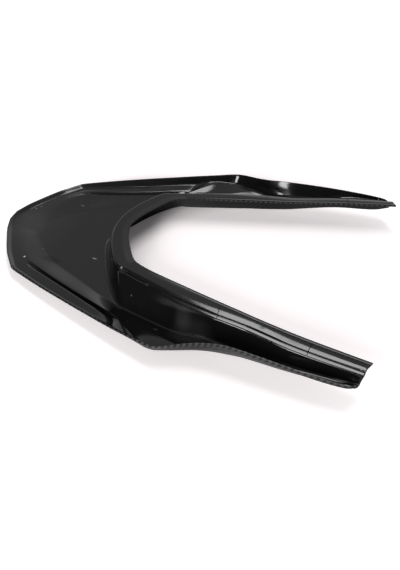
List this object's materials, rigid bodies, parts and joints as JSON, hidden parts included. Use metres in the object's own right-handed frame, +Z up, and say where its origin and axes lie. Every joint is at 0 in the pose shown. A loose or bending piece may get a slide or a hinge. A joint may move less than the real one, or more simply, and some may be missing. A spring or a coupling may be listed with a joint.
{
  "type": "motorcycle tail fairing",
  "caption": "Thin moulded tail fairing shell for a motorcycle: a blunt tail with a turned-up rim, a flanged wall round the seat opening and two tapering arms.",
  "frame": {"origin": "centre of the bounding box in X and Y, at the underside of the flat tail panel, which is what the shell lies on", "axes": "+X from the tail to the tips of the arms, +Y across the shell to its left as seen from the tail, +Z up out of the hollow side"},
  "size_m": [0.5098, 0.3596, 0.0472],
  "materials": {
    "black_plastic": "satin black moulding, fine carbon twill look on the outer side"
  },
  "bodies": {
    "root": {"tail_fairing": "black_plastic"}
  },
  "joints": []
}
